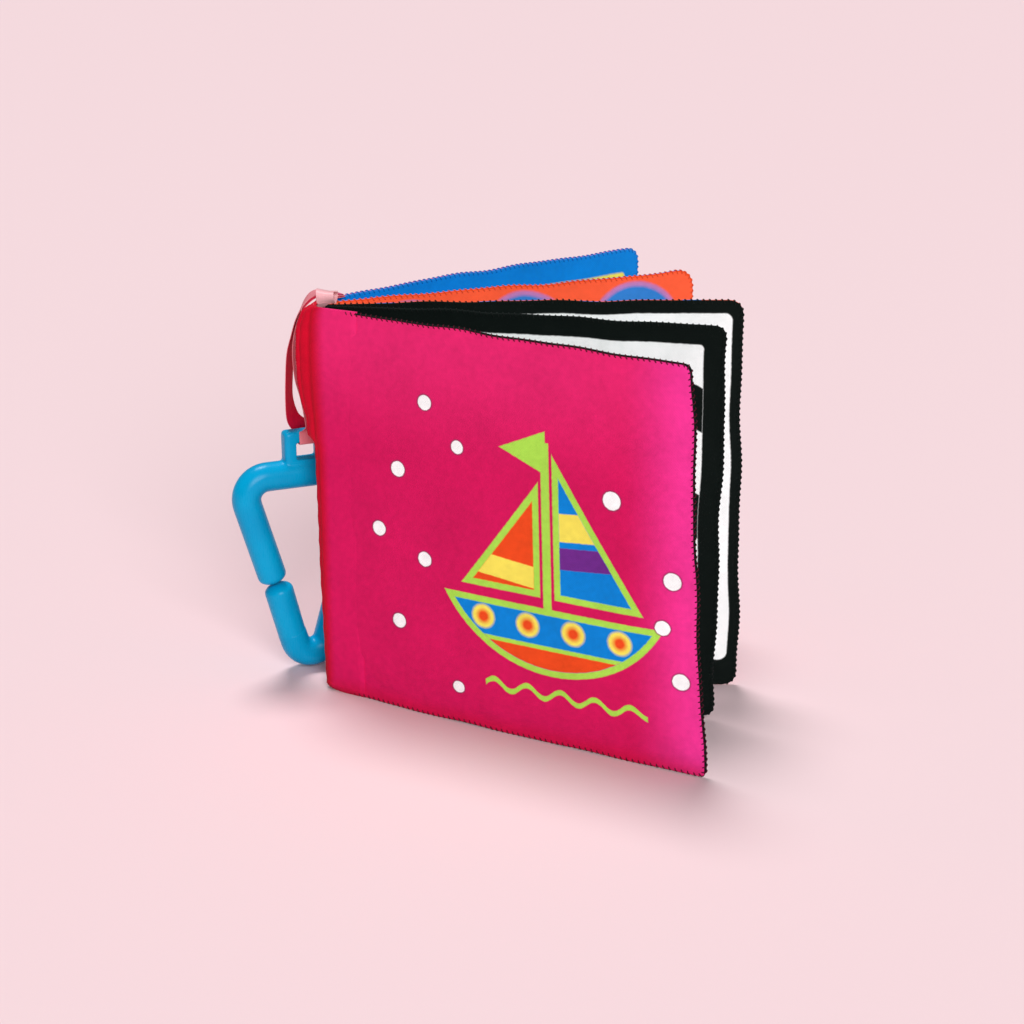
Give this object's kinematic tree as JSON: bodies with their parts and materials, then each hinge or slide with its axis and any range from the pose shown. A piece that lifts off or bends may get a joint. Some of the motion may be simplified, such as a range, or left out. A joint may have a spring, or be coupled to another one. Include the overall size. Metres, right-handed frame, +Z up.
{
  "type": "crinkle cloth book",
  "caption": "Soft padded cloth book: crinkle-filled leaves turn on a sewn spine, and a satin ribbon carries a plastic clip with a sprung gate.",
  "frame": {"origin": "on the floor, below the middle of the whole book's box as it stands fanned", "axes": "+X along the middle page from the spine to the fore-edge, +Y towards the back cover, +Z up the spine"},
  "size_m": [0.165, 0.1576, 0.1325],
  "materials": {
    "pink_cloth": "printed polyester plain weave, magenta",
    "red_cloth": "printed polyester plain weave, deep red",
    "black_cloth": "printed polyester plain weave, black with white",
    "orange_cloth": "printed polyester plain weave, orange",
    "blue_cloth": "printed polyester plain weave, blue",
    "crinkle_film": "thin rustling film",
    "wadding": "polyester wadding",
    "seam_thread": "polyester sewing thread",
    "satin_ribbon": "satin, pale pink",
    "clip_plastic": "glossy moulded plastic, cyan blue"
  },
  "bodies": {
    "front_cover": {"front_cover_outer_panel": "pink_cloth", "front_cover_inner_panel": "black_cloth", "front_cover_crinkle_film": "crinkle_film", "front_cover_wadding": "wadding", "front_cover_seam_thread": "seam_thread"},
    "page_1": {"page_1_front_panel": "black_cloth", "page_1_back_panel": "black_cloth", "page_1_crinkle_film": "crinkle_film", "page_1_wadding": "wadding", "page_1_seam_thread": "seam_thread"},
    "page_2": {"page_2_front_panel": "black_cloth", "page_2_back_panel": "orange_cloth", "page_2_crinkle_film": "crinkle_film", "page_2_wadding": "wadding", "page_2_seam_thread": "seam_thread", "spine_wrap": "red_cloth", "binding_thread": "seam_thread"},
    "page_3": {"page_3_front_panel": "orange_cloth", "page_3_back_panel": "blue_cloth", "page_3_crinkle_film": "crinkle_film", "page_3_wadding": "wadding", "page_3_seam_thread": "seam_thread"},
    "back_cover": {"back_cover_inner_panel": "blue_cloth", "back_cover_outer_panel": "pink_cloth", "back_cover_crinkle_film": "crinkle_film", "back_cover_wadding": "wadding", "back_cover_seam_thread": "seam_thread", "ribbon_bar_tack": "satin_ribbon"},
    "ribbon": {"ribbon_loop": "satin_ribbon"},
    "clip": {"clip_frame": "clip_plastic"},
    "gate": {"clip_gate": "clip_plastic"}
  },
  "joints": [
    {"name": "page_1_turn", "type": "hinge", "parent": "page_2", "child": "page_1", "pos_m": [-0.04852, -0.01056, 0], "axis": [0, 0, -1], "range_deg": [-9, 118], "deforming": ["spine_wrap"]},
    {"name": "front_cover_turn", "type": "hinge", "parent": "page_1", "child": "front_cover", "pos_m": [-0.04906, -0.0131, 0], "axis": [0, 0, 1], "range_deg": [-153, 14], "deforming": ["spine_wrap"]},
    {"name": "page_3_turn", "type": "hinge", "parent": "page_2", "child": "page_3", "pos_m": [-0.04852, -0.00796, 0], "axis": [0, 0, 1], "range_deg": [-21, 106], "deforming": ["spine_wrap"]},
    {"name": "back_cover_turn", "type": "hinge", "parent": "page_3", "child": "back_cover", "pos_m": [-0.04958, -0.00558, 0], "axis": [0, 0, -1], "range_deg": [-122, 12], "deforming": ["spine_wrap"]},
    {"name": "ribbon_swing", "type": "hinge", "parent": "back_cover", "child": "ribbon", "pos_m": [-0.04635, -0.0013, 0.13095], "axis": [-0.6293, 0.7771, 0], "range_deg": [-150, 150], "deforming": ["ribbon_loop"]},
    {"name": "clip_swing", "type": "hinge", "parent": "ribbon", "child": "clip", "pos_m": [-0.05864, 0.00561, 0.08275], "axis": [0.9135, 0.4067, 0], "range_deg": [0, 90], "deforming": ["ribbon_loop"]},
    {"name": "gate_flex", "type": "hinge", "parent": "clip", "child": "gate", "pos_m": [-0.06523, 0.00267, 0.01477], "axis": [-0.4067, 0.9135, 0], "range_deg": [0, 30], "stiffness_Nm_per_rad": 0.15}
  ]
}
